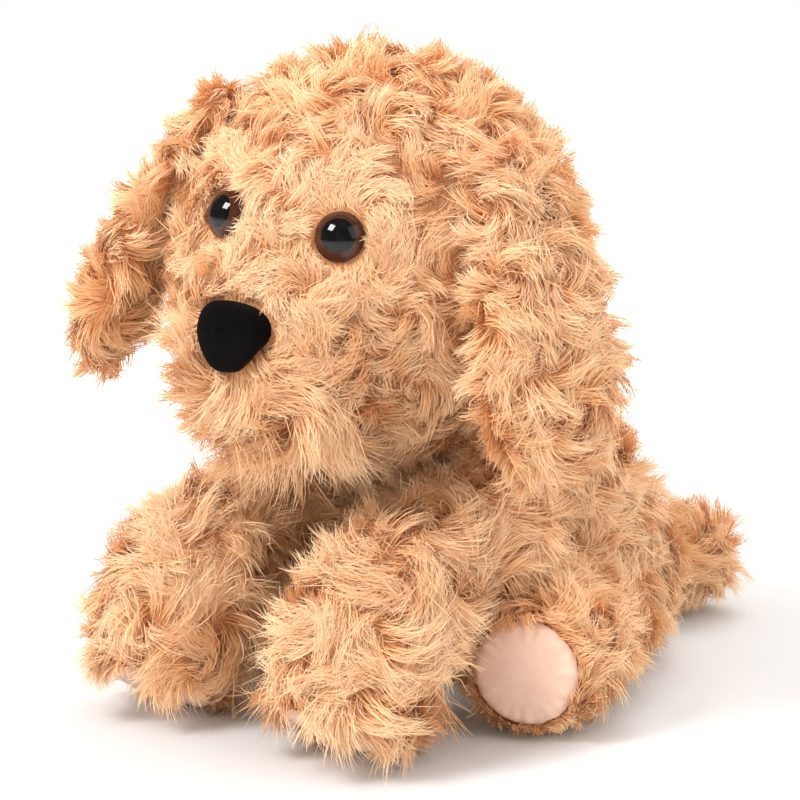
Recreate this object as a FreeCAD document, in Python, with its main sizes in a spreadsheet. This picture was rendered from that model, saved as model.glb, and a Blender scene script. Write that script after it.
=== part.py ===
import FreeCAD, Part
import os
import Sketcher

# A sitting plush dog: fur-fabric skins stuffed with fibrefill, a weighted seat, and soft
# limbs, ears, neck and tail that turn on their sewn seams.
# The dog faces -Y and sits on the plane Z = 0.  All lengths are millimetres, angles degrees.

doc = FreeCAD.newDocument("PlushDog")
sheet = doc.addObject("Spreadsheet::Sheet", "Sizes")

SIZES = {
    "General": [
        ("skin", 2.0, "thickness of the fur fabric with its pressed-down pile"),
        ("seam_gap", 0.35, "clearance between two bodies that turn on each other"),
        ("seat_relief", 0.2, "a sleeve starts this much inside its joint ball"),
        ("floor_depth", 60, "depth of the block that presses the soft parts flat"),
        ("sit_height", 217, "from the floor to the crown"),
        ("front_reach", 150, "from the middle of the seat to the front of the nose"),
    ],
    "Torso: round sections from the seat to the neck": [
        ("base_radius", 43, "flat seat"),
        ("base_y", 18, "centre of the seat"),
        ("base_sink", 4, "the seat is pressed flat from this far below the plane"),
        ("rump_radius", 54, ""), ("rump_z", 11, ""), ("rump_y", 17, ""),
        ("belly_radius", 57, ""), ("belly_z", 38, ""), ("belly_y", 11, ""),
        ("waist_radius", 52, ""), ("waist_z", 70, ""), ("waist_y", -6, ""),
        ("chest_radius", 43, ""), ("chest_z", 96, ""), ("chest_y", -29, ""),
        ("nape_radius", 37, ""),
        ("nape_drop", 33, "nape below the skull centre"),
        ("nape_back", 25, "nape behind the skull centre"),
        ("bag_radius", 26, "pellet bag in the seat"),
        ("bag_lift", 46, "height of the centre of the bag"),
    ],
    "Head: a ball that turns in the dish of the neck": [
        ("skull_radius", 66, ""),
        ("look_angle", 9, "the head looks towards its left"),
        ("tilt_angle", 6.5, "the head leans to its left"),
        ("muzzle_radius", 35, ""), ("muzzle_reach", 47, "muzzle ahead of the skull centre"),
        ("muzzle_drop", 19.5, "muzzle below the skull centre"),
        ("neck_pad", 7, "thickness of the stuffed neck ring"),
        ("neck_lean_angle", 30, "the neck leans forward"),
        ("neck_cone_angle", 31, "half angle of the neck ring, seen from the skull centre"),
    ],
    "Nose: padded velour patch": [
        ("nose_width", 26, ""), ("nose_height", 22.5, ""),
        ("nose_corner", 7.5, "upper corners"), ("nose_tip", 6, "lower corner"),
        ("nose_depth", 7, "how far it stands out of the muzzle"),
        ("nose_round", 3, "rounding of its front edge"),
        ("nose_angle", 8, "nose axis above the level"),
        ("nose_sink", 6, "the patch wraps back onto the muzzle"),
    ],
    "Eyes: glass-look safety eyes with a locking washer": [
        ("eye_radius", 8, ""), ("eye_height", 5.2, ""), ("pupil_radius", 5.5, ""),
        ("rim", 0.8, "straight edge of the iris"),
        ("eye_side_angle", 20, "eye from the middle of the face, as an angle"),
        ("eye_up_angle", 16.5, "eye above the level, as an angle"),
        ("shank_radius", 2.2, ""), ("shank_length", 12, ""),
        ("washer_radius", 7.5, ""), ("washer_thick", 1.6, ""),
        ("washer_slot", 1.2, "width of the spring slots"),
        ("washer_slots", 6, "number of spring slots"),
    ],
    "Ears: flat padded pouches sewn to the side of the skull": [
        ("ear_root_radius", 6, "rolled seam edge that the ear turns on"),
        ("ear_root_angle", 38, "root above the level, seen from the skull centre"),
        ("ear_flare_angle", 22, "the ear hangs away from the head"),
        ("ear_bow", 5, "the ear bows outwards over the cheek"),
        ("ear_turn_angle", 17, "the ear sits ahead of the middle of the head"),
        ("ear_top_half", 17, ""),
        ("ear_mid_half", 23, ""), ("ear_mid_thick", 7, ""), ("ear_mid_at", 40, ""),
        ("ear_low_half", 26, ""), ("ear_low_thick", 8, ""), ("ear_low_at", 80, ""),
        ("ear_tip_half", 13, ""), ("ear_tip_thick", 3.5, ""), ("ear_length", 98, ""),
    ],
    "Front legs": [
        ("shoulder_radius", 19, ""), ("shoulder_out", 1, "shoulder outside the chest"),
        ("shoulder_y", -54, ""),
        ("shoulder_z", 66.6, ""),
        ("arm_angle", 122.5, "direction of the leg, from straight up to the front"),
        ("arm_turn_angle", -3, "the leg points outwards"),
        ("elbow_radius", 19, ""), ("elbow_at", 26, ""),
        ("elbow_bow", 7, "the leg bows up between the shoulder and the paw"),
        ("wrist_radius", 21.5, ""), ("wrist_at", 50, ""), ("wrist_bow", 12, ""),
        ("paw_radius", 24, ""), ("paw_at", 74, ""), ("paw_bow", 2, ""),
        ("paw_end", 90, ""), ("paw_end_radius", 20, ""), ("paw_bend_angle", 26, "sole bends down"),
        ("sole_drop", 10, "the sole sits below the paw"),
    ],
    "Hind legs": [
        ("hip_radius", 23, ""), ("hip_depth", 9, "hip inside the rump"), ("hip_y", -4, ""),
        ("hip_z", 24.7, ""),
        ("thigh_angle", 91, "direction of the leg, from straight up to the front"),
        ("thigh_turn_angle", 22, "the leg points outwards"),
        ("knee_radius", 22.5, ""), ("knee_at", 26, ""),
        ("heel_radius", 23, ""), ("heel_at", 56, ""),
        ("foot_end", 70, ""), ("foot_end_radius", 19, ""),
    ],
    "Tufts: the main rosettes of the curled pile, on the crown and the back": [
        ("tuft_gap", 19, "from the middle of a rosette to the next"),
        ("tuft_radius", 13, "roundness of a rosette"),
        ("tuft_height", 4.5, "rosette over the skin"),
    ],
    "Sole pads": [
        ("pad_thick", 3, ""), ("pad_margin", 0.6, "pad edge inside the sole edge"),
        ("pad_crown", 2.5, "the pad narrows to its face by this"),
    ],
    "Tail: short pompom tail": [
        ("dock_radius", 12, ""), ("dock_depth", 3, "tail root inside the rump"),
        ("dock_z", 22, ""),
        ("tail_angle", -93, "direction of the tail, from straight up to the back"),
        ("tail_turn_angle", -25, "the tail curls to its left"),
        ("tail_neck_radius", 10.8, ""), ("tail_neck_at", 14, ""),
        ("pompom_radius", 17.5, ""), ("pompom_at", 34, ""),
        ("tail_shoulder_at", 46, ""),
        ("tail_shoulder_radius", 15, ""), ("tail_end", 53, ""), ("tail_end_radius", 8, ""),
    ],
}

row = 1
for title, cells in SIZES.items():
    sheet.set("A%d" % row, title)
    row += 1
    for alias, value, note in cells:
        sheet.set("A%d" % row, alias.replace("_", " "))
        sheet.set("B%d" % row, str(value))
        sheet.set("C%d" % row, note)
        sheet.setAlias("B%d" % row, alias)
        row += 1
doc.recompute()

NAMES = sorted((alias for cells in SIZES.values() for alias, _, _ in cells), key=len,
               reverse=True)


def bound(text):
    """Turn 'skull_radius - skin' into an expression that reads the sheet."""
    out, word = "", ""
    for letter in str(text) + " ":
        if letter.isalnum() or letter == "_" or (letter == "." and word[:1].isdigit()):
            word += letter
            continue
        out += ("Sizes." + word) if word in NAMES else word
        word = ""
        out += letter
    return out.strip()


def bind(thing, prop, text):
    thing.setExpression(prop, bound(text))
    return thing


def at(x="0", y="0", z="0", yaw="0", pitch="0", roll="0"):
    """A place as text: a point, then turns about Z, Y and X."""
    return "placement(vector(%s; %s; %s); rotation(%s; %s; %s))" % (x, y, z, yaw, pitch, roll)


def pose(thing, *places):
    """Put a thing at a chain of places, the outermost first."""
    return bind(thing, "Placement", " * ".join(places))


def solid(kind, name, place=None, **props):
    thing = doc.addObject("Part::" + kind, name)
    for prop, text in props.items():
        bind(thing, prop, text)
    return pose(thing, place) if place else thing


def cut(name, base, tool):
    thing = doc.addObject("Part::Cut", name)
    thing.Base, thing.Tool, thing.Refine = base, tool, False
    return thing


def fuse(name, *pieces):
    thing = doc.addObject("Part::MultiFuse", name)
    thing.Shapes, thing.Refine = list(pieces), False
    return thing


def common(name, *pieces):
    thing = doc.addObject("Part::MultiCommon", name)
    thing.Shapes = list(pieces)
    return thing


nodes = []


def node(thing, label, place=None):
    """Name a finished piece, and move it to where its body stands."""
    thing.Label = label
    if place:
        pose(thing, place)
    nodes.append(thing)
    return thing


def loft(name, rings, depth="0"):
    """Smooth closed body through round or oval sections, all drawn in by a depth.

    Each ring is (x, y, z, half_y, half_x, tilt); all are texts for the sheet.  The two end
    sections also move inwards by the depth."""
    sections = []
    for i, (x, y, z, half_y, half_x, tilt) in enumerate(rings):
        z += {0: " + (%s)", len(rings) - 1: " - (%s)"}.get(i, " + 0 * (%s)") % depth
        wide, thin = "%s - (%s)" % (half_y, depth), "%s - (%s)" % (half_x, depth)
        place = at(x, y, z, roll=tilt) + " * " + at(yaw="90")
        if half_x == half_y:
            ring = solid("Circle", "%s_ring%d" % (name, i), place, Radius=wide)
        else:
            ring = solid("Ellipse", "%s_ring%d" % (name, i), place, MajorRadius=wide,
                         MinorRadius=thin)
        sections.append(ring)
    thing = doc.addObject("Part::Loft", name)
    thing.Sections = sections
    thing.Solid = True
    return thing


def ground(name, level="0"):
    """Block under a level of the plane that the dog sits on."""
    side = "8 * floor_depth"
    corner = at("-4 * floor_depth", "-4 * floor_depth", "%s - floor_depth" % level)
    return solid("Box", name, corner, Length=side, Width=side, Height="floor_depth")


# ---------------------------------------------------------------- limbs
# A limb is drawn along its own +Z from the centre of its joint ball, then put in place.

def limb_form(name, rings, joint, place, depth="0"):
    """Joint ball and lofted sleeve in one, all drawn in by a depth."""
    sleeve = pose(loft(name + "_sleeve", rings, depth), place)
    knob = solid("Sphere", name + "_knob", place, Radius="%s - (%s)" % (joint, depth))
    return fuse(name + "_form", sleeve, knob)


def limb(name, rings, joint, place, reach, pad=True):
    """Skin, filling and sole pad of a limb; gives a maker of the seat that it turns in.

    The seat is a ball with a straight sleeve of the given reach."""
    outer = cut(name + "_outer", limb_form(name + "_o", rings, joint, place),
                ground(name + "_floor"))
    fill = cut(name + "_core", limb_form(name + "_i", rings, joint, place, "skin"),
               ground(name + "_bed", "skin"))
    node(cut(name + "_shell", outer, fill), name + "_skin")
    node(fill, name + "_fill")
    if pad:
        _, end_y, end_z, end_radius, _, tilt = rings[-1]
        disc = solid("Cone", name + "_disc", Radius1="%s - pad_margin" % end_radius,
                     Radius2="%s - pad_margin - pad_crown" % end_radius, Height="pad_thick")
        pose(disc, place, at("0", end_y, end_z, roll=tilt))
        node(cut(name + "_sole", disc, ground(name + "_step")), name + "_pad")

    def seat(tag, depth):
        socket = solid("Sphere", name + tag, place, Radius="%s + %s" % (joint, depth))
        sleeve = solid("Cylinder", name + tag + "_sleeve", place, Height=reach,
                       Radius="%s + %s - seat_relief" % (joint, depth))
        return fuse(name + tag + "_form", socket, sleeve)

    return seat


def round_rings(*rows):
    return [("0", y, z, r, r, tilt) for y, z, r, tilt in rows]


FRONT_RINGS = round_rings(
    ("0", "0", "shoulder_radius - seat_relief", "0"),
    ("elbow_bow", "elbow_at", "elbow_radius", "0"),
    ("wrist_bow", "wrist_at", "wrist_radius", "0"),
    ("paw_bow", "paw_at", "paw_radius", "paw_bend_angle / 2"),
    ("paw_bow - sole_drop", "paw_end", "paw_end_radius", "paw_bend_angle"),
)
HIND_RINGS = round_rings(
    ("0", "0", "hip_radius - seat_relief", "0"),
    ("0", "knee_at", "knee_radius", "0"),
    ("0", "heel_at", "heel_radius", "0"),
    ("0", "foot_end", "foot_end_radius", "0"),
)
TAIL_RINGS = round_rings(
    ("0", "0", "tail_neck_radius", "0"),
    ("0", "tail_neck_at", "tail_neck_radius", "0"),
    ("0", "pompom_at", "pompom_radius", "0"),
    ("0", "tail_shoulder_at", "tail_shoulder_radius", "0"),
    ("0", "tail_end", "tail_end_radius", "0"),
)

seats = []
for side, sign in (("left", ""), ("right", "-")):
    shoulder = at(sign + "(chest_radius + shoulder_out)", "shoulder_y", "shoulder_z",
                  sign + "arm_turn_angle", roll="arm_angle")
    seats.append(limb("front_leg_" + side, FRONT_RINGS, "shoulder_radius", shoulder,
                      "elbow_at"))
    hip = at(sign + "(rump_radius - hip_depth)", "hip_y", "hip_z", sign + "thigh_turn_angle",
             roll="thigh_angle")
    seats.append(limb("hind_leg_" + side, HIND_RINGS, "hip_radius", hip,
                      "(knee_at + heel_at) / 2"))
dock = at("0", "rump_y + rump_radius - dock_depth", "dock_z", "tail_turn_angle",
          roll="tail_angle")
seats.append(limb("tail", TAIL_RINGS, "dock_radius", dock, "tail_neck_at", pad=False))

# ---------------------------------------------------------------- torso and neck
SKULL_Y = "(muzzle_reach + muzzle_radius + nose_depth - front_reach)"
SKULL_Z = "(sit_height - skull_radius)"
# Lower section, upper section, share of the way up, and tufts to each side of the spine.
BACK_ROWS = ((2, 3, 0, 3), (2, 3, 0.55, 3), (3, 4, 0.1, 3), (3, 4, 0.75, 2))
TORSO_RINGS = round_rings(
    ("base_y", "-base_sink", "base_radius", "0"),
    ("rump_y", "rump_z", "rump_radius", "0"),
    ("belly_y", "belly_z", "belly_radius", "0"),
    ("waist_y", "waist_z", "waist_radius", "0"),
    ("chest_y", "chest_z", "chest_radius", "0"),
    (SKULL_Y + " + nape_back", SKULL_Z + " - nape_drop", "nape_radius", "0"),
)
HEAD = at("0", SKULL_Y, SKULL_Z, "look_angle", "tilt_angle")
NECK = at("0", SKULL_Y, SKULL_Z, roll="180 + neck_lean_angle")


def tuft(name, *places):
    """Low dome of curled pile on the surface that a place's +Z leaves at its origin."""
    ball = solid("Sphere", name, Radius="tuft_radius")
    return pose(ball, *places, at(z="tuft_height - tuft_radius"))


def back_tufts(tag):
    """Rows of tufts round the back, on or between the torso's sections."""
    tufts = []
    for row, (i, j, share, reach) in enumerate(BACK_ROWS):
        y, z, radius = ("(%s + %g * (%s - %s))" % (low, share, high, low) for low, high in
                        zip(TORSO_RINGS[i][1:4], TORSO_RINGS[j][1:4]))
        for i in range(-reach, reach + 1):
            if row or i:
                turn = "(%g * tuft_gap / (%s) * 180 / pi)" % (i + row % 2 / 2, radius)
                tufts.append(tuft("%s_row%d_%d" % (tag, row, i + reach), at("0", y, z, turn),
                                  at(y=radius, roll="-90")))
    return tufts


def torso_form(tag, depth):
    """The torso drawn in by a depth, with the seats of the limbs and of the neck."""
    dish = solid("Sphere", "neck_dish" + tag, HEAD,
                 Radius="skull_radius + 2 * seam_gap + neck_pad + (%s)" % depth)
    hollows = [seat("_seat" + tag, "seam_gap + (%s)" % depth) for seat in seats]
    pressed = cut("torso_pressed" + tag, loft("torso_sleeve" + tag, TORSO_RINGS, depth),
                  ground("torso_floor" + tag, depth))
    if depth == "0":
        pressed = fuse("torso_furred", pressed, *back_tufts("back_tuft"))
    return cut("torso" + tag, pressed, fuse("torso_hollows" + tag, dish, *hollows))


torso_outer = torso_form("_outer", "0")
torso_inner = torso_form("_inner", "skin")
bag = solid("Sphere", "bag_ball", at("0", "belly_y", "bag_lift"), Radius="bag_radius")
node(cut("torso_shell", torso_outer, torso_inner), "torso_skin")
node(cut("torso_core", torso_inner, bag), "torso_fill")
node(bag, "pellet_bag")

neck_wedge = solid("Cone", "neck_wedge", NECK, Radius1="0",
                   Radius2="2 * skull_radius * tan(neck_cone_angle)", Height="2 * skull_radius")
neck_outer = solid("Sphere", "neck_outer", HEAD, Radius="skull_radius + seam_gap + neck_pad")
neck_inner = solid("Sphere", "neck_inner", HEAD, Radius="skull_radius + seam_gap")
node(cut("neck", common("neck_form", neck_outer, neck_wedge), neck_inner), "neck_cushion")

# ---------------------------------------------------------------- skull and muzzle
MUZZLE = at("0", "-muzzle_reach", "-muzzle_drop")
MUZZLE_IN_PLACE = HEAD + " * " + MUZZLE


def ball(name, place, radius):
    return solid("Sphere", name, place, Radius=radius)


muzzle_fill = cut("muzzle_core", ball("muzzle_in", MUZZLE_IN_PLACE, "muzzle_radius - skin"),
                  ball("skull_a", HEAD, "skull_radius"))
muzzle_outer = cut("muzzle_outer", ball("muzzle_out", MUZZLE_IN_PLACE, "muzzle_radius"),
                   ball("skull_b", HEAD, "skull_radius"))
node(cut("muzzle_shell", muzzle_outer, muzzle_fill), "muzzle_skin")
node(muzzle_fill, "muzzle_fill")

# ---------------------------------------------------------------- eyes
# An eye stands on the skull along its own +Z, which starts at the centre of the skull.
EYE_SPHERE = "(eye_radius^2 + (eye_height - rim)^2) / (2 * (eye_height - rim))"
SEAT_Z = "sqrt(skull_radius^2 - eye_radius^2)"
WASHER_Z = "sqrt((skull_radius - skin)^2 - washer_radius^2) - washer_thick"


def eye_dome(name, place):
    """Domed button: a rim, then part of a sphere."""
    top = SEAT_Z + " + eye_height - " + EYE_SPHERE
    globe = solid("Sphere", name + "_globe", Radius=EYE_SPHERE)
    pose(globe, place, at(z=top))
    barrel = solid("Cylinder", name + "_barrel", Radius="eye_radius", Height="eye_height")
    pose(barrel, place, at(z=SEAT_Z))
    return common(name + "_dome", globe, barrel)


def washer(name, place):
    """Flat locking washer with spring slots round its bore."""
    body = doc.addObject("PartDesign::Body", name)
    planes = {f.Role: f for f in body.Origin.OriginFeatures}
    disc = body.newObject("Sketcher::SketchObject", name + "_disc")
    disc.AttachmentSupport, disc.MapMode = [(planes["XY_Plane"], "")], "FlatFace"
    axis = FreeCAD.Vector(0, 0, 1)
    for i, alias in enumerate(("washer_radius", "shank_radius")):
        disc.addGeometry(Part.Circle(FreeCAD.Vector(), axis, 8 - 5 * i))
        disc.addConstraint(Sketcher.Constraint("Coincident", i, 3, -1, 1))
        disc.addConstraint(Sketcher.Constraint("Radius", i, 8 - 5 * i))
        bind(disc, "Constraints[%d]" % (2 * i + 1), alias)
    plate = body.newObject("PartDesign::Pad", name + "_plate")
    plate.Profile = disc
    bind(plate, "Length", "washer_thick")
    slot = body.newObject("Sketcher::SketchObject", name + "_slot")
    slot.AttachmentSupport, slot.MapMode = [(planes["XY_Plane"], "")], "FlatFace"
    corners = [FreeCAD.Vector(x, y, 0) for x, y in ((0, -1), (5, -1), (5, 1), (0, 1))]
    for i in range(4):
        slot.addGeometry(Part.LineSegment(corners[i], corners[(i + 1) % 4]))
    for i in range(4):
        slot.addConstraint(Sketcher.Constraint("Coincident", i, 2, (i + 1) % 4, 1))
        slot.addConstraint(Sketcher.Constraint("Vertical" if i % 2 else "Horizontal", i))
    slot.addConstraint(Sketcher.Constraint("Symmetric", 3, 1, 3, 2, -1, 1))
    slot.addConstraint(Sketcher.Constraint("Distance", 3, 2))
    bind(slot, "Constraints[9]", "washer_slot")
    slot.addConstraint(Sketcher.Constraint("Distance", 0, 5))
    bind(slot, "Constraints[10]", "(shank_radius + washer_radius) / 2")
    notch = body.newObject("PartDesign::Pocket", name + "_notch")
    notch.Profile = slot
    notch.Type = 1
    notch.Reversed = True
    ring = body.newObject("PartDesign::PolarPattern", name + "_slots")
    ring.Originals = [notch]
    ring.Axis = (planes["Z_Axis"], [""])
    bind(ring, "Occurrences", "washer_slots")
    body.Tip = ring
    return pose(body, place, at(z=WASHER_Z))


shanks = []
for side, sign in (("left", ""), ("right", "-")):
    eye = HEAD + " * " + at(yaw=sign + "eye_side_angle", roll="90 - eye_up_angle")
    name = "eye_" + side
    bore = solid("Cylinder", name + "_bore", Radius="pupil_radius", Height="2 * skull_radius")
    pose(bore, eye)
    node(cut(name + "_iris", eye_dome(name + "_a", eye), bore), name + "_iris")
    post = solid("Cylinder", name + "_post", Radius="pupil_radius", Height="2 * skull_radius")
    pose(post, eye)
    shank = solid("Cylinder", name + "_stem", Radius="shank_radius", Height="shank_length")
    pose(shank, eye, at(z=SEAT_Z + " - shank_length"))
    node(fuse(name + "_piece", common(name + "_face", eye_dome(name + "_b", eye), post), shank),
         name + "_pupil")
    node(washer(name + "_washer_body", eye), name + "_washer")
    hole = solid("Cylinder", name + "_hole", Radius="shank_radius", Height="shank_length")
    pose(hole, eye, at(z=SEAT_Z + " - shank_length"))
    room = solid("Cylinder", name + "_room", Radius="washer_radius",
                 Height="washer_thick + skin")
    pose(room, eye, at(z=WASHER_Z))
    seat = solid("Cylinder", name + "_seat", Radius="eye_radius", Height="eye_height")
    pose(seat, eye, at(z=SEAT_Z))
    shanks.append((hole, room, seat))

CROWN_STEP = "(tuft_gap / skull_radius * 180 / pi)"
# Ring from the crown down, tufts round the whole ring, and how many are grown each side of
# the back of the head; the face and the ears' roots stay clear.
CROWN_RINGS = ((1, 6, 3), (2, 12, 6), (3, 18, 3), (4, 22, 4), (5, 24, 4))


def crown_tufts():
    """Rings of tufts over the crown and down the back of the head."""
    tufts = [tuft("crown_tuft", HEAD, at(z="skull_radius"))]
    for ring, round_count, reach in CROWN_RINGS:
        for i in range(-reach, reach + 1 - (2 * reach == round_count)):
            tufts.append(tuft("crown_tuft%d_%d" % (ring, i + reach), HEAD,
                              at(yaw="%g" % (360 * i / round_count),
                                 roll="-%d * %s" % (ring, CROWN_STEP)),
                              at(z="skull_radius")))
    return tufts


skull_outer = cut("skull_outer",
                  fuse("skull_furred", ball("skull_out", HEAD, "skull_radius"), *crown_tufts()),
                  fuse("eye_seats", *[part for group in shanks for part in group[::2]]))
skull_inner = cut("skull_inner", ball("skull_in", HEAD, "skull_radius - skin"),
                  fuse("eye_rooms", *[part for group in shanks for part in group[:2]]))
node(cut("skull_shell", skull_outer, ball("skull_room", HEAD, "skull_radius - skin")),
     "head_skin")
node(skull_inner, "head_fill")

# ---------------------------------------------------------------- nose
def nose_body():
    """Padded patch: a rounded triangle, point down, with a rounded front edge."""
    body = doc.addObject("PartDesign::Body", "nose_body")
    planes = {f.Role: f for f in body.Origin.OriginFeatures}
    sketch = body.newObject("Sketcher::SketchObject", "nose_outline")
    sketch.AttachmentSupport, sketch.MapMode = [(planes["XY_Plane"], "")], "FlatFace"
    vec, axis = FreeCAD.Vector, FreeCAD.Vector(0, 0, 1)
    centres = [(-7, 4.5, 7), (0, -5.5, 6), (7, 4.5, 7)]
    spans = [(1.57, 3.6), (3.6, 5.8), (5.8, 7.85)]
    for (x, y, size), (start, end) in zip(centres, spans):
        circle = Part.Circle(vec(x, y, 0), axis, size)
        sketch.addGeometry(Part.ArcOfCircle(circle, start, end))
    for i in range(3):
        a, b = sketch.Geometry[i].EndPoint, sketch.Geometry[(i + 1) % 3].StartPoint
        sketch.addGeometry(Part.LineSegment(a, b))
    add = lambda *args: sketch.addConstraint(Sketcher.Constraint(*args))
    for i in range(3):
        add("Tangent", i, 2, 3 + i, 1)
        add("Tangent", 3 + i, 2, (i + 1) % 3, 1)
    add("PointOnObject", 1, 3, -2)
    add("Symmetric", 0, 3, 2, 3, -2)
    for text, args in (("nose_corner", ("Radius", 0, 7)), ("nose_corner", ("Radius", 2, 7)),
                       ("nose_tip", ("Radius", 1, 6)),
                       ("nose_width - 2 * nose_corner", ("DistanceX", 0, 3, 2, 3, 14)),
                       ("nose_height / 2 - nose_corner", ("DistanceY", -1, 1, 2, 3, 4.5)),
                       ("nose_height / 2 - nose_tip", ("DistanceY", 1, 3, -1, 1, 5.5))):
        bind(sketch, "Constraints[%d]" % add(*args), text)
    pad = body.newObject("PartDesign::Pad", "nose_pad")
    pad.Profile = sketch
    bind(pad, "Length", "nose_depth + nose_sink")
    doc.recompute()
    front = [i for i, edge in enumerate(pad.Shape.Edges, 1)
             if all(abs(v.Z - pad.Shape.BoundBox.ZMax) < 1e-6 for v in edge.Vertexes)]
    rounding = body.newObject("PartDesign::Fillet", "nose_rounding")
    rounding.Base = (pad, ["Edge%d" % i for i in front])
    bind(rounding, "Radius", "nose_round")
    body.Tip = rounding
    return body


nose = nose_body()
pose(nose, HEAD, MUZZLE, at(roll="90 - nose_angle"), at(z="muzzle_radius - nose_sink"))
node(cut("nose_patch", nose, ball("muzzle_seat", MUZZLE_IN_PLACE, "muzzle_radius")), "nose")

# ---------------------------------------------------------------- ears
EAR_RINGS = [
    ("0", "0", "0", "ear_top_half - seat_relief", "ear_root_radius - seat_relief", "0"),
    ("-ear_bow", "0", "ear_mid_at", "ear_mid_half", "ear_mid_thick", "0"),
    ("-ear_bow / 2", "0", "ear_low_at", "ear_low_half", "ear_low_thick", "0"),
    ("0", "0", "ear_length", "ear_tip_half", "ear_tip_thick", "0"),
]


def ear_form(name, place, rings, depth):
    """Flat pouch fused with the rolled root edge that it turns on."""
    pouch = pose(loft(name + "_pouch", rings, depth), place)
    root = solid("Ellipsoid", name + "_root", place, Radius1="ear_root_radius - (%s)" % depth,
                 Radius2="ear_root_radius - (%s)" % depth, Radius3="ear_top_half - (%s)" % depth)
    for prop, angle in (("Angle1", -90), ("Angle2", 90), ("Angle3", 360)):
        setattr(root, prop, angle)
    return fuse(name + "_form", pouch, root)


ROOT = "(skull_radius + seam_gap + ear_root_radius)"
for side, sign in (("left", ""), ("right", "-")):
    flare = "180 - ear_flare_angle" if side == "left" else "180 + ear_flare_angle"
    swing = "-ear_turn_angle" if side == "left" else "ear_turn_angle"
    root = " * ".join((HEAD, at(yaw=swing), at("%s%s * cos(ear_root_angle)" % (sign, ROOT),
                                               "0", ROOT + " * sin(ear_root_angle)",
                                               pitch=flare)))
    rings = [(("%s" if side == "left" else "-(%s)") % x, *rest) for x, *rest in EAR_RINGS]
    fill = ear_form("ear_%s_i" % side, root, rings, "skin")
    outer = ear_form("ear_%s_o" % side, root, rings, "0")
    node(cut("ear_%s_shell" % side, outer, fill), "ear_%s_skin" % side)
    node(fill, "ear_%s_fill" % side)

# ---------------------------------------------------------------- check and write
doc.recompute()
for thing in doc.Objects:
    if "Invalid" in thing.State or "Error" in thing.State:
        raise RuntimeError("%s failed to build" % thing.Name)
for thing in nodes:
    if thing.Shape.isNull() or not thing.Shape.isValid() or not thing.Shape.Solids:
        raise RuntimeError("%s has no valid solid" % thing.Label)

os.makedirs("parts", exist_ok=True)
for thing in nodes:
    thing.Shape.exportStep("parts/%s.step" % thing.Label)
print("%d pieces written" % len(nodes))
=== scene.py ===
"""Plush dog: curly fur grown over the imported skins, velour soles and nose, glossy button eyes.

Lengths are in metres and angles in degrees where nothing else is said.  The dog's places are
all read from the frame."""
from math import ceil, cos, pi, radians, sin

import bpy
import numpy as np
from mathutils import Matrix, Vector
from mathutils.bvhtree import BVHTree


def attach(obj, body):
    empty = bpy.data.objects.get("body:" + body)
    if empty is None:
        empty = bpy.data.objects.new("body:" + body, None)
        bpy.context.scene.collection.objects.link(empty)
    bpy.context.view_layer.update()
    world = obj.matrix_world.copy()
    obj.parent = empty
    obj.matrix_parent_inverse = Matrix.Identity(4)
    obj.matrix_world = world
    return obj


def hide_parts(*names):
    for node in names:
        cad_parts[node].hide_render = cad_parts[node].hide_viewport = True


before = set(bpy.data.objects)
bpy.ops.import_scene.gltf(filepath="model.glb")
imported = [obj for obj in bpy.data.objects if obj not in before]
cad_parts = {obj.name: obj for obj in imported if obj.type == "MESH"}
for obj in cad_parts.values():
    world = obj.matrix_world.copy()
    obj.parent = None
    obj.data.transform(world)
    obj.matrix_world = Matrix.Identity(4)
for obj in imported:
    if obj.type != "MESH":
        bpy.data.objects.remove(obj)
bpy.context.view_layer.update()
MM = 0.001
DOWN = np.array((0.0, 0.0, -1.0))

# Furred node, its body, length of the pile, how much it is combed downwards, and on the
# node's lower part how much longer the pile is and how much more it stands up (radians).
COATS = (
    ("head_skin", "head", 13 * MM, 0.15, 0.0, 0.0),
    ("muzzle_skin", "head", 14.5 * MM, 0.15, 0.75, 0.35),
    ("neck_cushion", "neck", 10 * MM, 0.3, 0.0, 0.0),
    ("torso_skin", "torso", 15.5 * MM, 0.25, 0.0, 0.0),
    ("ear_left_skin", "ear_left", 14.5 * MM, 0.45, 0.0, 0.0),
    ("ear_right_skin", "ear_right", 15 * MM, 0.45, 0.0, 0.0),
    ("front_leg_left_skin", "front_leg_left", 17.5 * MM, 0.3, 0.25, 0.0),
    ("front_leg_right_skin", "front_leg_right", 17.5 * MM, 0.3, 0.25, 0.0),
    ("hind_leg_left_skin", "hind_leg_left", 15 * MM, 0.2, 0.1, 0.0),
    ("hind_leg_right_skin", "hind_leg_right", 15 * MM, 0.2, 0.1, 0.0),
    ("tail_skin", "tail", 18 * MM, 0.15, 0.0, 0.1),
)
LOWER_PART = 0.9                # of a node's height
PADS = tuple(n for n in sorted(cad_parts) if n.endswith("_pad"))
EYES = tuple("eye_%s_%s" % (side, part) for side in ("left", "right")
             for part in ("iris", "pupil"))
# Bare pieces, how far around them the fur is shorter, how much it is combed away from them
# (below 0 towards them), and how far strands stay off them.
BARE = (
    (EYES, 12 * MM, 1.1, 1.1 * MM),
    (("nose",), 12 * MM, 1.0, 1.0 * MM),
    (PADS, 6 * MM, -0.6, 0.4 * MM),
)

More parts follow.
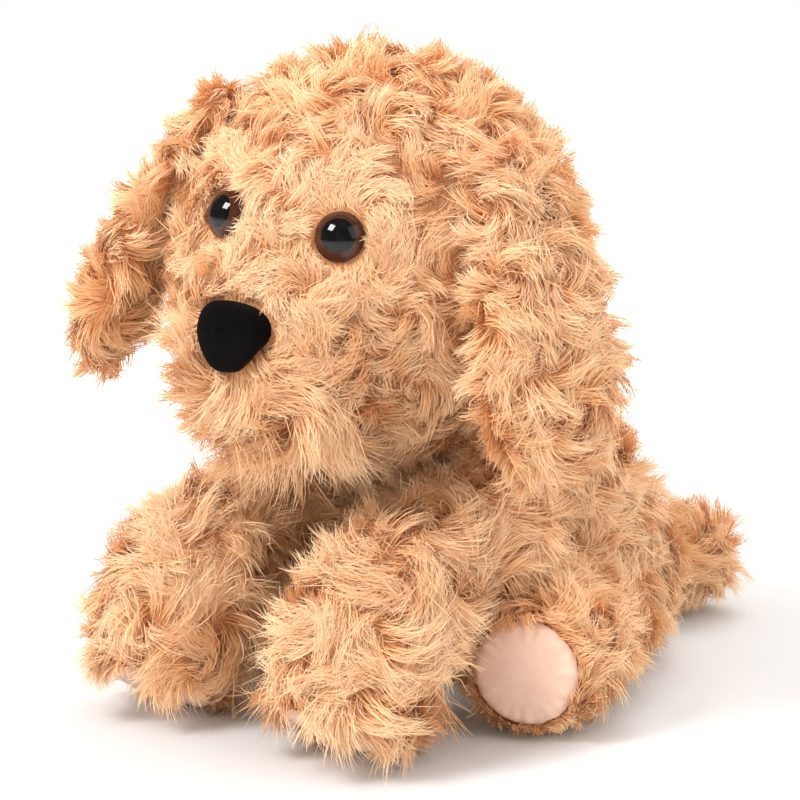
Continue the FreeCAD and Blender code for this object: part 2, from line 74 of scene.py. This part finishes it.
# Locks: they stand in rosettes, and each is a bunch of strands.  Pairs are the least and most.
ROSETTE_GAP = 17 * MM
LOCK_GAP = 3.1 * MM
BARE_GAP = 0.5                  # of that gap beside a bare piece
SPOTS_A_LOCK = 7                # random spots that are tried for each square of the gap
SWIRL = 40, 80                  # between a rosette's radius and the way its locks lie
SWIRL_NOISE = 0.2               # radians
HEADING_NOISE = 0.1
MIDDLE_LEAN, RIM_LEAN = 26, 28  # off the normal in a rosette's middle, and more at its rim
BARE_LEAN = 0.25                # radians more beside a bare piece
LEAN_NOISE = 0.12               # radians
FALL = 20, 55                   # how far a lock leans over further on its way to the tip
CURL = 10, 95                   # how far it turns aside on its way to the tip
LOCK_LENGTH = 0.85, 1.1         # of the pile
BARE_TRIM = 0.55                # share of the pile that is lost beside a bare piece
LEAST_PILE = 0.4                # share of the pile that is left on the floor or when covered
LEAST_ROOM = 0.08               # share of its height that a covered lock keeps
FLOOR_TRIM = 22 * MM            # below this height the pile gets shorter
HEADROOM = 20 * MM              # how far over a root something may cover it
OVERHANG = -0.05                # a normal with a lower z faces the floor, which limits the room
SOLE_HEIGHT, SOLE_FACING = 0.7 * MM, -0.8   # below this and with a lower z: bare, on the floor

# Strands: flat ribbons, rooted a little below the skin.
STRANDS_A_LOCK = 34
STRANDS_A_PIECE = 24000
STRAND_JOINTS = 5
STRAND_WIDTH = 0.35 * MM
WIDTH_RANGE = 0.7, 1.15         # times that width
TAPER = (0, 0.3, 0.7, 1), (0.8, 1.0, 0.75, 0.16)    # places along a strand, and widths there
ROLL_NOISE = 16
STRAND_LENGTH = 0.7, 1.08       # of its lock's pile
UNDERCOAT = 0.27                # share of a lock's strands that are short and stand apart
UNDERCOAT_REACH, UNDERCOAT_LENGTH = 1.4, 0.55       # times those of the other strands
LOCK_REACH = 2.7 * MM           # how far from its lock's root a strand is rooted
GATHER = 0.45                   # share of that distance that is lost at the tip
GATHER_POWER, TURN_POWER = 0.9, 1.3                 # how late a strand gathers and curls
WILD_SHARE, WILD = 0.2, 2.5     # strands that stray, and how many times as far
TILT_NOISE, TURN_NOISE = 0.10, 0.2                  # radians
ROOT_DEPTH = 0.4 * MM
FLOOR_CLEAR = 0.5 * MM
EDGE_CLEAR = 0.6                # of that height for a ribbon's edges

# Tones run from a deep strand at 0 to a pale one at 1, and lie side by side along U.
TONES = 64
MEAN_TONE = 0.5
ROSETTE_TONE, LOCK_TONE, STRAND_TONE = 0.13, 0.08, 0.09     # how much each varies
COLUMN_INSET = 0.2              # share of its column that a strand leaves free on each side

# Size of the mesh, rounds of smoothing, and how full and tight the piece is, from 0 to 1.
BACKING = 2.6 * MM, 4, 0.9
PAD = 0.9 * MM, 6, 0.8
NOSE = 0.7 * MM, 20, 0.95
# How far a patch is domed in its middle, how far its edge is set back and puckered, and how
# far its outline comes towards a circle.
PAD_PUFF = 1.5 * MM, 0.4 * MM, 0.7 * MM, 0.0
NOSE_PUFF = 1.5 * MM, 3.5 * MM, 0.2 * MM, 0.5
STANDS_ON_IT = -0.7             # a pad whose axis has a lower z is on the floor and not domed
SECTORS = 72                    # in which an outline is measured
DOME_POWER, DROP_POWER = 0.8, 3
EDGE = 0.55                     # the puckers start at this share of the outline
PUCKERS = 11, 17, 23            # waves round the outline that are added up
FUR_SEED, PAD_SEED, NOSE_SEED = 100, 300, 310

# Colours are linear red, green and blue, alone or with their places on a ramp.
# Both fur ramps grow darker towards the root: partly the fur's own deeper colour, partly painted
# shade down in the pile between the locks.
DEEP_FUR = (0.0, (0.82, 0.33, 0.11)), (0.35, (0.94, 0.52, 0.24)), (1.0, (0.97, 0.65, 0.38))
PALE_FUR = (0.0, (0.88, 0.42, 0.17)), (0.35, (0.97, 0.61, 0.34)), (1.0, (0.99, 0.76, 0.51))
FUR_SHEEN = 1.0, 0.68, 0.4, 1.0
# The backing is as dark as the fur's roots: painted shade for the gaps between the locks, over
# the knit's own orange and grain.
KNIT_WITH_PAINTED_SHADE = (0.38, (0.60, 0.22, 0.07)), (0.62, (0.90, 0.46, 0.20))
VELOUR = (0.3, (0.84, 0.53, 0.40)), (0.7, (0.97, 0.69, 0.54))
BLACK_VELOUR = (0.3, (0.001, 0.001, 0.001)), (0.7, (0.006, 0.005, 0.004))
BUTTONS = {
    "iris": ("button_brown", ((0.3, (0.045, 0.014, 0.008)), (0.7, (0.085, 0.028, 0.014)))),
    "pupil": ("button_black", ((0.3, (0.003, 0.003, 0.003)), (0.7, (0.008, 0.007, 0.007)))),
    "washer": ("washer_plastic", ((0.3, (0.6, 0.6, 0.57)), (0.7, (0.75, 0.75, 0.72)))),
}

# Studio: directions are a turn from the front towards the dog's left and a rise.
TARGET = Vector((0, -0.048, 0.102))
CAMERA_TURN, CAMERA_RISE, CAMERA_AWAY = 40, 10.5, 0.9
CAMERA_LENS = 118               # millimetres
# Lamp, turn, rise, side of its square, watts.
LAMPS = (("key", -15, 44, 0.45, 12.5), ("fill", 95, 30, 1.0, 3.0), ("rim", 185, 55, 0.8, 7.0))
LAMP_AWAY = 1.3
WORLD_LIGHT, WORLD_MIRRORED = 0.9, 0.1      # strength, and strength in reflections
WORLD_COLOUR = 1, 0.99, 0.98, 1
WHITE = 1, 1, 1, 1
FLOOR_COLOUR = 0.76, 0.76, 0.76, 1
FLOOR_HALF = 4
# To the camera the floor turns into the white of the background between these distances.
FLOOR_GLOW = (("From Min", 0.2), ("From Max", 0.55), ("To Min", 0.02), ("To Max", 1.0))


# ---------------------------------------------------------------- materials
def material(name, **sockets):
    """A Principled material and its nodes; sockets are set by name, with _ for a space."""
    made = bpy.data.materials.new(name)
    made.use_nodes = True
    shader = made.node_tree.nodes["Principled BSDF"]
    for socket, value in sockets.items():
        shader.inputs[socket.replace("_", " ")].default_value = value
    return made, made.node_tree, shader


def noise(tree, scale, detail=3.0, roughness=0.55):
    """Noise over the object's own metres."""
    place = tree.nodes.new("ShaderNodeTexCoord")
    grain = tree.nodes.new("ShaderNodeTexNoise")
    grain.inputs["Scale"].default_value = scale
    grain.inputs["Detail"].default_value = detail
    grain.inputs["Roughness"].default_value = roughness
    tree.links.new(place.outputs["Object"], grain.inputs["Vector"])
    return grain.outputs["Fac"]


def reckon(tree, operation, *values):
    """Result of a Math node; each value is a number or another node's output."""
    made = tree.nodes.new("ShaderNodeMath")
    made.operation = operation
    for socket, value in zip(made.inputs, values):
        if isinstance(value, float):
            socket.default_value = value
        else:
            tree.links.new(value, socket)
    return made.outputs["Value"]


def ramp(tree, value, stops):
    """Colours by value; stops are (position, (r, g, b))."""
    made = tree.nodes.new("ShaderNodeValToRGB")
    band = made.color_ramp
    while len(band.elements) < len(stops):
        band.elements.new(0.5)
    for element, (where, colour) in zip(band.elements, stops):
        element.position = where
        element.color = (*colour, 1.0)
    tree.links.new(value, made.inputs["Fac"])
    return made.outputs["Color"]


def bump(tree, shader, value, height, strength=1.0):
    """Let a value raise the surface by up to a height."""
    made = tree.nodes.new("ShaderNodeBump")
    made.inputs["Distance"].default_value = height
    made.inputs["Strength"].default_value = strength
    tree.links.new(value, made.inputs["Height"])
    tree.links.new(made.outputs["Normal"], shader.inputs["Normal"])


def fur_material():
    """Root to tip along V, darker at the root partly with painted shade, from a deep strand to a
    pale one along U.
    """
    made, tree, shader = material("fur", Roughness=0.65, Specular_IOR_Level=0.1,
                                  Sheen_Weight=0.08, Sheen_Roughness=0.5, Sheen_Tint=FUR_SHEEN)
    place = tree.nodes.new("ShaderNodeUVMap")
    place.uv_map = "OFBake"
    split = tree.nodes.new("ShaderNodeSeparateXYZ")
    tree.links.new(place.outputs["UV"], split.inputs["Vector"])
    mixed = tree.nodes.new("ShaderNodeMix")
    mixed.data_type = "RGBA"
    tree.links.new(split.outputs["X"], mixed.inputs["Factor"])
    tree.links.new(ramp(tree, split.outputs["Y"], DEEP_FUR), mixed.inputs["A"])
    tree.links.new(ramp(tree, split.outputs["Y"], PALE_FUR), mixed.inputs["B"])
    tree.links.new(mixed.outputs["Result"], shader.inputs["Base Color"])
    return made


def cloth_material():
    """Knitted backing that the fur is rooted in; its darkness, as deep as the roots, is painted
    shade for the gaps between the locks, and its mottling is the knit's own grain.
    """
    made, tree, shader = material("fur_backing", Roughness=0.9, Sheen_Weight=0.3)
    grain = noise(tree, 1400, 4.0, 0.7)
    tree.links.new(ramp(tree, grain, KNIT_WITH_PAINTED_SHADE), shader.inputs["Base Color"])
    bump(tree, shader, grain, 1.2 * MM)
    return made


def velour_material(name, colours, gloss, sheen):
    """Short nap: soft mottling where it is brushed, and a fine grain."""
    made, tree, shader = material(name, Roughness=0.85, Specular_IOR_Level=gloss,
                                  Sheen_Weight=sheen, Sheen_Roughness=0.45)
    fine = reckon(tree, "MULTIPLY", noise(tree, 1500, 3.0, 0.7), 0.4)
    mottled = reckon(tree, "MULTIPLY_ADD", noise(tree, 90, 2.0), 0.6, fine)
    tree.links.new(ramp(tree, mottled, colours), shader.inputs["Base Color"])
    bump(tree, shader, noise(tree, 2200, 2.0, 0.7), 0.35 * MM, 0.6)
    return made


def button_material(name, colours):
    """Glossy moulded plastic with a faint cloudiness."""
    made, tree, shader = material(name, Roughness=0.04, Specular_IOR_Level=0.5)
    tree.links.new(ramp(tree, noise(tree, 320), colours), shader.inputs["Base Color"])
    return made


# ---------------------------------------------------------------- skins of the frame
def unit(vectors):
    """Vectors of length 1."""
    size = np.linalg.norm(vectors, axis=-1, keepdims=True)
    return vectors / np.maximum(size, 1e-12)


def outer_shell(node):
    """Points and triangles of a node's outside, without the walls of its hollow."""
    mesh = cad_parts[node].data
    mesh.calc_loop_triangles()
    points = np.empty(3 * len(mesh.vertices))
    mesh.vertices.foreach_get("co", points)
    faces = np.empty(3 * len(mesh.loop_triangles), int)
    mesh.loop_triangles.foreach_get("vertices", faces)
    _, first, weld = np.unique(np.round(points.reshape(-1, 3), 6), axis=0,
                               return_index=True, return_inverse=True)
    points = points.reshape(-1, 3)[first]
    faces = weld.ravel()[faces].reshape(-1, 3)
    # Each point takes the lowest number among its neighbours until nothing changes.
    island = np.arange(len(points))
    while True:
        lowest = island.copy()
        np.minimum.at(lowest, faces.ravel(), np.repeat(island[faces].min(axis=1), 3))
        lowest = lowest[lowest]
        if (lowest == island).all():
            break
        island = lowest
    a, b, c = points[faces].transpose(1, 0, 2)
    volume = np.bincount(island[faces[:, 0]], np.einsum("ij,ij->i", a, np.cross(b, c)),
                         len(points))
    return points, faces[volume[island[faces[:, 0]]] > 0]


def tree_of(shells):
    """One search tree over several shells."""
    points, faces = [], []
    for shell_points, shell_faces in shells:
        faces.extend((shell_faces + len(points)).tolist())
        points.extend(shell_points.tolist())
    return BVHTree.FromPolygons(points, faces)


def scatter(shell, count, rng):
    """Random points on a shell, evenly over its area, the normals there, and the area."""
    points, faces = shell
    a, b, c = points[faces].transpose(1, 0, 2)
    normal = np.cross(b - a, c - a)
    area = np.linalg.norm(normal, axis=1)
    pick = rng.choice(len(faces), count, p=area / area.sum())
    u, v = rng.random((2, count, 1))
    u, v = np.where(u + v > 1, 1 - u, u), np.where(u + v > 1, 1 - v, v)
    return a[pick] + u * (b - a)[pick] + v * (c - a)[pick], unit(normal[pick]), area.sum() / 2


def spaced(points, gap):
    """Indices of points that stay at least a gap apart; each point may have its own gap."""
    kept, left = [], np.arange(len(points))
    gaps = np.broadcast_to(gap, len(points))
    while len(left):
        kept.append(left[0])
        away = points[left] - points[left[0]]
        left = left[np.einsum("ij,ij->i", away, away) > gaps[left[0]] ** 2]
    return np.array(kept)


# ---------------------------------------------------------------- fur
def headroom(root, normal, around):
    """Free height over a root up to what covers it; None for a root inside something."""
    start = Vector(root + ROOT_DEPTH * normal)
    _, hit_normal, _, distance = around.ray_cast(start, Vector(normal), HEADROOM)
    if hit_normal is not None and hit_normal.dot(Vector(normal)) > 0:
        return None
    room = HEADROOM if distance is None else distance
    if normal[2] < OVERHANG:
        room = min(room, root[2] / -normal[2])
    return room


def grow(shell, around, bare, rng):
    """Roots, normals, the way off the bare pieces, how near they are and the room above."""
    _, _, area = scatter(shell, 1, rng)
    spots, facing, _ = scatter(shell, int(SPOTS_A_LOCK * area / LOCK_GAP ** 2), rng)
    off, crowd = np.zeros_like(spots), np.zeros(len(spots))
    for tree, reach, push, _ in bare:
        for i, spot in enumerate(spots):
            hit, _, _, distance = tree.find_nearest(Vector(spot), reach)
            if hit is not None and 1 - distance / reach > crowd[i]:
                off[i] = push * unit(spot - np.array(hit))
                crowd[i] = 1 - distance / reach
    locks = []
    for i in spaced(spots, np.where(crowd > 0, BARE_GAP, 1.0) * LOCK_GAP):
        room = headroom(spots[i], facing[i], around)
        flat = spots[i][2] < SOLE_HEIGHT and facing[i][2] < SOLE_FACING
        if room is not None and not flat:
            locks.append((*spots[i], *facing[i], *off[i], crowd[i], room))
    locks = np.array(locks)
    return locks[:, :3], locks[:, 3:6], locks[:, 6:9], locks[:, 9], locks[:, 10]


def paths(length, comb, fuller, stand, locks, rng):
    """Centre lines of all strands of a coat, with the normals under them and their tones."""
    roots, normals, off, crowd, room = locks
    shuffled = rng.permutation(len(roots))
    centres = roots[shuffled[spaced(roots[shuffled], ROSETTE_GAP)]]
    away = roots[:, None] - centres[None]
    owner = np.argmin(np.einsum("ijk,ijk->ij", away, away), axis=1)
    radial = away[np.arange(len(roots)), owner]
    radial -= normals * np.einsum("ij,ij->i", radial, normals)[:, None]
    rim = np.clip(np.linalg.norm(radial, axis=1) / (0.5 * ROSETTE_GAP), 0, 1)
    radial = unit(radial)
    hand = rng.choice((-1.0, 1.0), len(centres))[owner]
    across = np.cross(normals, radial) * hand[:, None]
    swirl = np.radians(rng.uniform(*SWIRL, len(centres)))[owner]
    swirl = swirl + rng.normal(0, SWIRL_NOISE, len(roots))
    heading = np.cos(swirl)[:, None] * radial + np.sin(swirl)[:, None] * across
    heading += comb * DOWN + rng.normal(0, HEADING_NOISE, heading.shape)
    heading += crowd[:, None] * off
    heading -= normals * np.einsum("ij,ij->i", heading, normals)[:, None]
    heading = unit(heading)

    count = len(roots)
    tone = MEAN_TONE + ROSETTE_TONE * rng.normal(0, 1, len(centres))[owner]
    tone = tone + LOCK_TONE * rng.normal(0, 1, count)
    pile = length * rng.uniform(*LOCK_LENGTH, count) * (1 - BARE_TRIM * crowd)
    low, high = roots[:, 2].min(), roots[:, 2].max()
    lower = np.clip(1 - (roots[:, 2] - low) / (LOWER_PART * (high - low)), 0, 1)
    raised = np.clip(roots[:, 2] / FLOOR_TRIM, 0, 1)
    pile *= (1 + fuller * lower) * (LEAST_PILE + (1 - LEAST_PILE) * raised)
    free = np.clip(room / (0.5 * pile), LEAST_ROOM, 1.0)
    pile *= LEAST_PILE + (1 - LEAST_PILE) * free
    lean = np.radians(MIDDLE_LEAN + RIM_LEAN * rim) + rng.normal(0, LEAN_NOISE, count)
    lean = lean + BARE_LEAN * crowd - stand * lower * (1 - crowd)
    fall = np.radians(rng.uniform(*FALL, count))
    curl = hand * np.radians(rng.uniform(*CURL, count))

    # One row for each strand from here on.
    lock = np.repeat(np.arange(count), STRANDS_A_LOCK)
    n, e = normals[lock], heading[lock]
    f = np.cross(n, e)
    total = len(lock)
    under = np.arange(total) % STRANDS_A_LOCK < UNDERCOAT * STRANDS_A_LOCK
    spread = LOCK_REACH * np.where(under, UNDERCOAT_REACH, 1.0)[:, None]
    spread = spread * np.sqrt(rng.random((total, 1)))
    angle = rng.uniform(0, 2 * pi, (total, 1))
    offset = spread * (np.cos(angle) * e + np.sin(angle) * f)
    wild = np.where(rng.random(total) < WILD_SHARE, WILD, 1.0)
    t = np.linspace(0, 1, STRAND_JOINTS)[None]
    tilt = (lean[lock] + rng.normal(0, TILT_NOISE, total) * wild)[:, None]
    tilt = tilt + fall[lock][:, None] * t
    turn = (curl[lock] + rng.normal(0, TURN_NOISE, total) * wild)[:, None] * t ** TURN_POWER
    out = (np.cos(turn) * np.sin(tilt))[..., None] * e[:, None]
    out += (np.sin(turn) * np.sin(tilt))[..., None] * f[:, None]
    out += (np.cos(tilt) * free[lock][:, None])[..., None] * n[:, None]
    step = pile[lock] * rng.uniform(*STRAND_LENGTH, total) / (STRAND_JOINTS - 1)
    step *= np.where(under, UNDERCOAT_LENGTH, 1.0)
    path = np.cumsum(out, axis=1) * step[:, None, None]
    path -= path[:, :1]
    gather = 1 - np.where(under, 0.0, GATHER / wild)[:, None] * t ** GATHER_POWER
    path += roots[lock][:, None] + offset[:, None] * gather[..., None]
    path -= ROOT_DEPTH * n[:, None]
    path[..., 2] = np.maximum(path[..., 2], FLOOR_CLEAR)
    tone = np.clip(tone[lock] + rng.normal(0, STRAND_TONE, total), 0.0, 1.0)
    return path, n, tone


def keeps_off(path, tree, gap):
    """Which strands stay a gap away from a tree's pieces, all along but at the root."""
    return np.array([all(tree.find_nearest(Vector(spot), gap)[0] is None for spot in strand[1:])
                     for strand in path], bool)


def ribbons(name, path, normal, tone, rng):
    """Piece of flat strands that lie with their faces outwards."""
    total, joints, _ = path.shape
    along = unit(np.gradient(path, axis=1))
    side = unit(np.cross(along, normal[:, None]) + 1e-9)
    up = np.cross(side, along)
    roll = np.radians(rng.normal(0, ROLL_NOISE, total))[:, None, None]
    side = np.cos(roll) * side + np.sin(roll) * up
    taper = np.interp(np.linspace(0, 1, joints), *TAPER)
    half = 0.5 * STRAND_WIDTH * taper[None, :, None] * rng.uniform(*WIDTH_RANGE, (total, 1, 1))
    corners = np.stack((path - half * side, path + half * side), axis=2)
    corners[..., 2] = np.maximum(corners[..., 2], EDGE_CLEAR * FLOOR_CLEAR)
    first = 2 * (joints * np.arange(total)[:, None] + np.arange(joints - 1)[None])
    quads = first[..., None] + np.array((0, 1, 3, 2))
    mesh = bpy.data.meshes.new(name)
    mesh.vertices.add(corners.size // 3)
    mesh.vertices.foreach_set("co", corners.astype(np.float32).ravel())
    mesh.loops.add(quads.size)
    mesh.loops.foreach_set("vertex_index", quads.astype(np.int32).ravel())
    mesh.polygons.add(quads.size // 4)
    mesh.polygons.foreach_set("loop_start", np.arange(0, quads.size, 4, dtype=np.int32))
    mesh.update(calc_edges=True)
    column = np.minimum((tone * TONES).astype(int), TONES - 1)
    inset = np.array((COLUMN_INSET, 1 - COLUMN_INSET, 1 - COLUMN_INSET, COLUMN_INSET))
    u = (column[:, None, None] + inset) / TONES
    v = (np.arange(joints - 1)[None, :, None] + np.array((0, 0, 1, 1))) / (joints - 1)
    uv = np.stack(np.broadcast_arrays(u, v), axis=-1)
    mesh.uv_layers.new(name="OFBake").data.foreach_set("uv", uv.astype(np.float32).ravel())
    mesh.shade_smooth()
    piece = bpy.data.objects.new(name, mesh)
    bpy.context.scene.collection.objects.link(piece)
    return piece


# ---------------------------------------------------------------- pieces
def from_arrays(name, points, faces):
    """Object with the mesh of some points and faces."""
    mesh = bpy.data.meshes.new(name)
    mesh.from_pydata(points.tolist(), [], faces.tolist())
    piece = bpy.data.objects.new(name, mesh)
    bpy.context.scene.collection.objects.link(piece)
    return piece


def even_skin(name, shell, voxel, smooth):
    """Closed even mesh over a shell."""
    piece = from_arrays(name, *shell)
    remesh = piece.modifiers.new("even", "REMESH")
    remesh.mode = "VOXEL"
    remesh.voxel_size = voxel
    relax = piece.modifiers.new("relax", "SMOOTH")
    relax.iterations = smooth
    graph = bpy.context.evaluated_depsgraph_get()
    mesh = bpy.data.meshes.new_from_object(piece.evaluated_get(graph))
    piece.modifiers.clear()
    piece.data = mesh
    mesh.shade_smooth()
    return piece


def finish(piece, body, made, replaced=()):
    """Give a piece its material and the body it rides on, and hide the frame's nodes that it
    stands for.
    """
    piece.data.materials.clear()
    piece.data.materials.append(made)
    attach(piece, body)
    if replaced:
        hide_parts(*replaced)


def puff(piece, axis, crown, drop, pucker, rounder, rng):
    """Dome a patch along an axis, pucker its sewn edge, and bring its outline to a circle."""
    mesh = piece.data
    points = np.empty(3 * len(mesh.vertices))
    mesh.vertices.foreach_get("co", points)
    points = points.reshape(-1, 3)
    flat = points - points.mean(axis=0)
    high = flat @ axis
    flat -= high[:, None] * axis
    right = unit(np.cross(axis, (0.3, 0.2, 1.0)))
    turn = np.arctan2(flat @ np.cross(axis, right), flat @ right)
    size = np.linalg.norm(flat, axis=1)
    sector = ((turn + pi) / (2 * pi) * SECTORS).astype(int) % SECTORS
    reach = np.array([size[sector == i].max(initial=1e-4) for i in range(SECTORS)])
    share = np.clip(size / reach[sector], 0, 1)
    waves = sum(np.sin(k * turn + rng.uniform(0, 2 * pi)) for k in PUCKERS) / len(PUCKERS)
    front = np.clip(high / np.abs(high).max() + 0.5, 0, 1)
    rise = crown * (1 - share ** 2) ** DOME_POWER - drop * share ** DROP_POWER
    rise += pucker * waves * np.clip(share - EDGE, 0, 1) / (1 - EDGE)
    points += (front * rise)[:, None] * axis
    points += (rounder * (reach.mean() / reach[sector] - 1))[:, None] * flat
    mesh.vertices.foreach_set("co", points.ravel())
    mesh.update()


def dress(index, shells, bare, fur, backing):
    """Backing cloth and fur of one row of the coats."""
    node, body, length, comb, fuller, stand = COATS[index]
    rng = np.random.default_rng(FUR_SEED + index)
    name = node.replace("_skin", "")
    inside = {node, name + "_fill"} | ({"pellet_bag"} if body == "torso" else set())
    voxel, smooth, fill = BACKING
    skin = even_skin("backing_" + name, shells[node], voxel, smooth)
    finish(skin, body, backing,
           sorted(inside & set(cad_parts)))

    around = tree_of([shells[n] for n in shells if n != node])
    locks = grow(shells[node], around, bare, rng)
    path, normal, tone = paths(length, comb, fuller, stand, locks, rng)
    good = np.full(len(path), True)
    crowd = locks[3]
    close = np.flatnonzero(np.repeat(crowd > 0, STRANDS_A_LOCK))
    for tree, _, _, gap in bare:
        good[close] &= keeps_off(path[close], tree, gap)
    path, normal, tone = path[good], normal[good], tone[good]
    middle = path[:, 0].mean(axis=0)
    order = np.argsort(np.arctan2(path[:, 0, 1] - middle[1], path[:, 0, 0] - middle[0]))
    pieces = ceil(len(order) / STRANDS_A_PIECE)
    for number, chosen in enumerate(np.array_split(order, pieces), 1):
        piece = ribbons("fur_%s_%d" % (name, number), path[chosen], normal[chosen],
                        tone[chosen], rng)
        finish(piece, body, fur)


def sew_pads(shells):
    """Velour soles, domed where they aren't on the floor."""
    velour = velour_material("velour", VELOUR, 0.15, 0.3)
    voxel, smooth, fill = PAD
    crown, drop, pucker, rounder = PAD_PUFF
    for index, node in enumerate(PADS):
        body = node.replace("_pad", "")
        pad = even_skin("velour_" + node, shells[node], voxel, smooth)
        points = shells[node][0]
        leg = shells[body + "_skin"][0].mean(axis=0)
        # The direction in which the pad is thinnest, pointing away from the leg.
        axis = np.linalg.svd(points - points.mean(axis=0), full_matrices=False)[2][2]
        axis = axis * np.sign(axis @ (points.mean(axis=0) - leg))
        puff(pad, axis, crown if axis[2] > STANDS_ON_IT else 0.0, drop, pucker, rounder,
             np.random.default_rng(PAD_SEED + index))
        finish(pad, body, velour, (node,))


def sew_nose(shells):
    """Black velour nose, domed away from the muzzle."""
    black = velour_material("black_velour", BLACK_VELOUR, 0.06, 0.012)
    voxel, smooth, fill = NOSE
    nose = even_skin("velour_nose", shells["nose"], voxel, smooth)
    axis = unit(shells["nose"][0].mean(axis=0) - shells["muzzle_skin"][0].mean(axis=0))
    puff(nose, axis, *NOSE_PUFF, np.random.default_rng(NOSE_SEED))
    finish(nose, "head", black, ("nose",))


def colour_buttons():
    """Materials of the eyes and of the washers behind them, which are the frame's nodes."""
    for part, (name, colours) in BUTTONS.items():
        made = button_material(name, colours)
        for side in ("left", "right"):
            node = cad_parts["eye_%s_%s" % (side, part)]
            node.data.materials.clear()
            node.data.materials.append(made)


def dog():
    """Everything that is seen of the dog."""
    fur, backing = fur_material(), cloth_material()
    nodes = [coat[0] for coat in COATS] + [node for row in BARE for node in row[0]]
    shells = {node: outer_shell(node) for node in nodes}
    bare = [(tree_of([shells[n] for n in row[0]]), *row[1:]) for row in BARE]
    for index in range(len(COATS)):
        dress(index, shells, bare, fur, backing)
    sew_pads(shells)
    sew_nose(shells)
    colour_buttons()


# ---------------------------------------------------------------- studio
def aimed(name, data, turn, rise, away):
    """Camera or lamp that looks at the target from a direction."""
    turn, rise = radians(turn), radians(rise)
    back = Vector((sin(turn) * cos(rise), -cos(turn) * cos(rise), sin(rise)))
    made = bpy.data.objects.new(name, data)
    made.location = TARGET + away * back
    made.rotation_euler = back.to_track_quat("Z", "Y").to_euler()
    bpy.context.scene.collection.objects.link(made)
    return made


def light_world():
    """Even light, faint in reflections, behind a background that is white to the camera."""
    world = bpy.data.worlds.new("studio")
    bpy.context.scene.world = world
    world.use_nodes = True
    tree = world.node_tree
    tree.nodes.clear()
    seen = tree.nodes.new("ShaderNodeLightPath")
    light, plain = (tree.nodes.new("ShaderNodeBackground") for _ in range(2))
    light.inputs["Color"].default_value = WORLD_COLOUR
    plain.inputs["Color"].default_value = WHITE
    strength = reckon(tree, "MULTIPLY_ADD", seen.outputs["Is Glossy Ray"],
                      WORLD_MIRRORED - WORLD_LIGHT, WORLD_LIGHT)
    tree.links.new(strength, light.inputs["Strength"])
    chosen = tree.nodes.new("ShaderNodeMixShader")
    out = tree.nodes.new("ShaderNodeOutputWorld")
    tree.links.new(seen.outputs["Is Camera Ray"], chosen.inputs["Fac"])
    tree.links.new(light.outputs["Background"], chosen.inputs[1])
    tree.links.new(plain.outputs["Background"], chosen.inputs[2])
    tree.links.new(chosen.outputs["Shader"], out.inputs["Surface"])


def lay_floor():
    """Pale floor that keeps the dog's shadow."""
    corners = np.array(((-1, -1, 0), (1, -1, 0), (1, 1, 0), (-1, 1, 0))) * float(FLOOR_HALF)
    floor = from_arrays("floor", corners, np.array([(0, 1, 2, 3)]))
    made, tree, shader = material("floor", Base_Color=FLOOR_COLOUR, Roughness=0.9,
                                  Specular_IOR_Level=0.0, Emission_Color=WHITE)
    place = tree.nodes.new("ShaderNodeTexCoord")
    away = tree.nodes.new("ShaderNodeVectorMath")
    away.operation = "LENGTH"
    tree.links.new(place.outputs["Object"], away.inputs[0])
    far = tree.nodes.new("ShaderNodeMapRange")
    far.interpolation_type = "SMOOTHSTEP"
    for socket, value in FLOOR_GLOW:
        far.inputs[socket].default_value = value
    tree.links.new(away.outputs["Value"], far.inputs["Value"])
    seen = tree.nodes.new("ShaderNodeLightPath")
    glow = reckon(tree, "MULTIPLY", seen.outputs["Is Camera Ray"], far.outputs["Result"])
    tree.links.new(glow, shader.inputs["Emission Strength"])
    floor.data.materials.append(made)


def studio():
    """Camera, light and floor."""
    scene = bpy.context.scene
    scene.view_settings.view_transform = "Standard"
    view = bpy.data.cameras.new("camera")
    view.lens = CAMERA_LENS
    scene.camera = aimed("camera", view, CAMERA_TURN, CAMERA_RISE, CAMERA_AWAY)
    light_world()
    for name, turn, rise, side, power in LAMPS:
        lamp = bpy.data.lights.new(name, "AREA")
        lamp.shape = "SQUARE"
        lamp.size = side
        lamp.energy = power
        aimed(name, lamp, turn, rise, LAMP_AWAY)
    lay_floor()


dog()
studio()
